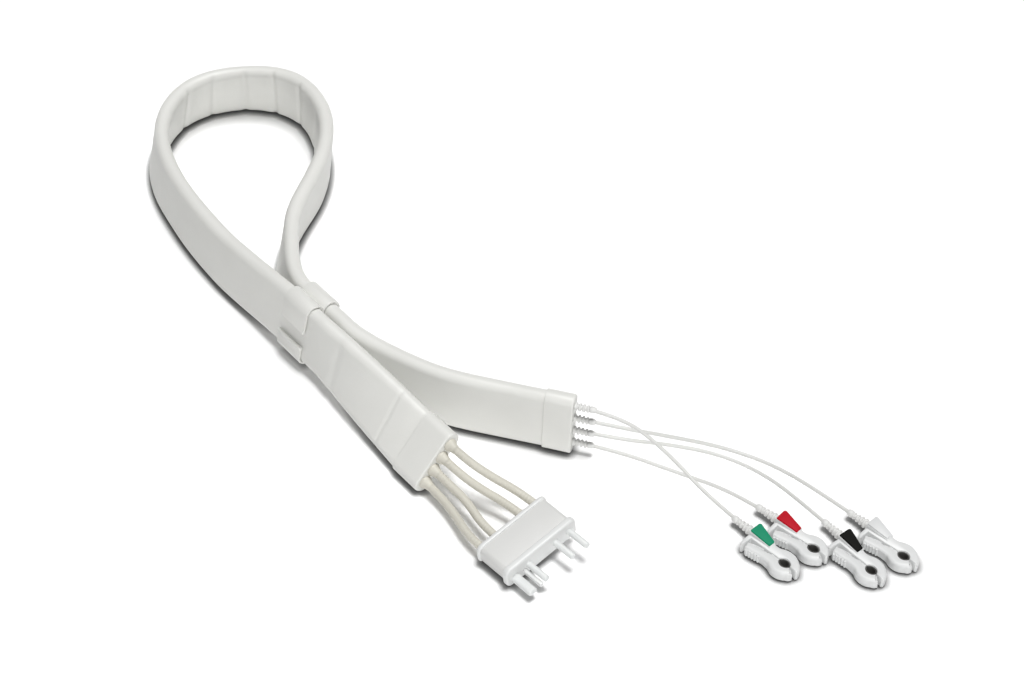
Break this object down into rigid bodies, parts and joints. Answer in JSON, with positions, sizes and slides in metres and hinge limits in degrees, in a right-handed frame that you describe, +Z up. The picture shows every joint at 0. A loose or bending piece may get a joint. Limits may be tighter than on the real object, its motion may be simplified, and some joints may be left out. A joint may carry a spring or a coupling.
{
  "type": "ECG lead set",
  "caption": "Monitoring lead set: padded flat ribbon looped through a sliding keeper, a pinned plug at one end and thin leads with sprung pinch clips at the other.",
  "frame": {"origin": "middle of the footprint of the set as it lies on a table, on the table", "axes": "+X to the right along the longest side of the footprint, +Y away from the viewer, +Z up from the table"},
  "size_m": [0.4662, 0.4334, 0.0447],
  "materials": {
    "sleeve": "soft matt padded sleeve, cool off-white",
    "cable": "matt flexible sheath, warm off-white",
    "keeper": "satin moulding",
    "cap": "satin moulding",
    "plug": "satin moulding",
    "contact": "pale moulded contact",
    "lead": "thin flexible sheath",
    "boot": "soft moulded strain relief",
    "clip": "satin moulding",
    "carbon": "dark carbon-filled moulding",
    "tab_green": "coloured moulding",
    "tab_white": "coloured moulding",
    "tab_black": "coloured moulding",
    "tab_red": "coloured moulding"
  },
  "bodies": {
    "lead_set": {"ribbon_sleeve": "sleeve", "ribbon_cable_1": "cable", "ribbon_cable_2": "cable", "ribbon_cable_3": "cable", "ribbon_cable_4": "cable", "plug_end_cap": "cap", "lead_end_cap": "cap", "plug_housing": "plug", "plug_plate": "plug", "contact_pin_1": "contact", "contact_pin_2": "contact", "contact_pin_3": "contact", "contact_blade": "contact", "plug_cable_1": "cable", "plug_cable_2": "cable", "plug_cable_3": "cable", "plug_cable_4": "cable", "cable_grommets": "cable", "green_lead": "lead", "green_exit_boot": "boot", "green_clip_body": "clip", "green_clip_tab": "tab_green", "green_clip_pivot_pin": "clip", "green_clip_spring": "clip", "green_clip_contact": "carbon", "green_clip_boot": "boot", "white_lead": "lead", "white_exit_boot": "boot", "white_clip_body": "clip", "white_clip_tab": "tab_white", "white_clip_pivot_pin": "clip", "white_clip_spring": "clip", "white_clip_contact": "carbon", "white_clip_boot": "boot", "black_lead": "lead", "black_exit_boot": "boot", "black_clip_body": "clip", "black_clip_tab": "tab_black", "black_clip_pivot_pin": "clip", "black_clip_spring": "clip", "black_clip_contact": "carbon", "black_clip_boot": "boot", "red_lead": "lead", "red_exit_boot": "boot", "red_clip_body": "clip", "red_clip_tab": "tab_red", "red_clip_pivot_pin": "clip", "red_clip_spring": "clip", "red_clip_contact": "carbon", "red_clip_boot": "boot"},
    "keeper": {"loop_keeper": "keeper"},
    "green_lever": {"green_clip_lever": "clip"},
    "white_lever": {"white_clip_lever": "clip"},
    "black_lever": {"black_clip_lever": "clip"},
    "red_lever": {"red_clip_lever": "clip"}
  },
  "joints": [
    {"name": "green_lever_hinge", "type": "hinge", "parent": "lead_set", "child": "green_lever", "pos_m": [0.15123, -0.1871, 0.004], "axis": [0, 0, -1], "range_deg": [0, 9], "stiffness_Nm_per_rad": 0.1, "springref_deg": -20.05, "deforming": ["green_clip_spring"]},
    {"name": "white_lever_hinge", "type": "hinge", "parent": "lead_set", "child": "white_lever", "pos_m": [0.21813, -0.18187, 0.004], "axis": [0, 0, -1], "range_deg": [0, 9], "stiffness_Nm_per_rad": 0.1, "springref_deg": -20.05, "deforming": ["white_clip_spring"]},
    {"name": "black_lever_hinge", "type": "hinge", "parent": "lead_set", "child": "black_lever", "pos_m": [0.19975, -0.19147, 0.004], "axis": [0, 0, -1], "range_deg": [0, 9], "stiffness_Nm_per_rad": 0.1, "springref_deg": -20.05, "deforming": ["black_clip_spring"]},
    {"name": "red_lever_hinge", "type": "hinge", "parent": "lead_set", "child": "red_lever", "pos_m": [0.16776, -0.17681, 0.004], "axis": [0, 0, -1], "range_deg": [0, 9], "stiffness_Nm_per_rad": 0.1, "springref_deg": -20.05, "deforming": ["red_clip_spring"]},
    {"name": "keeper_slide", "type": "slide", "parent": "lead_set", "child": "keeper", "axis": [0.6293, -0.7771, 0], "range_m": [0, 0.012]}
  ]
}
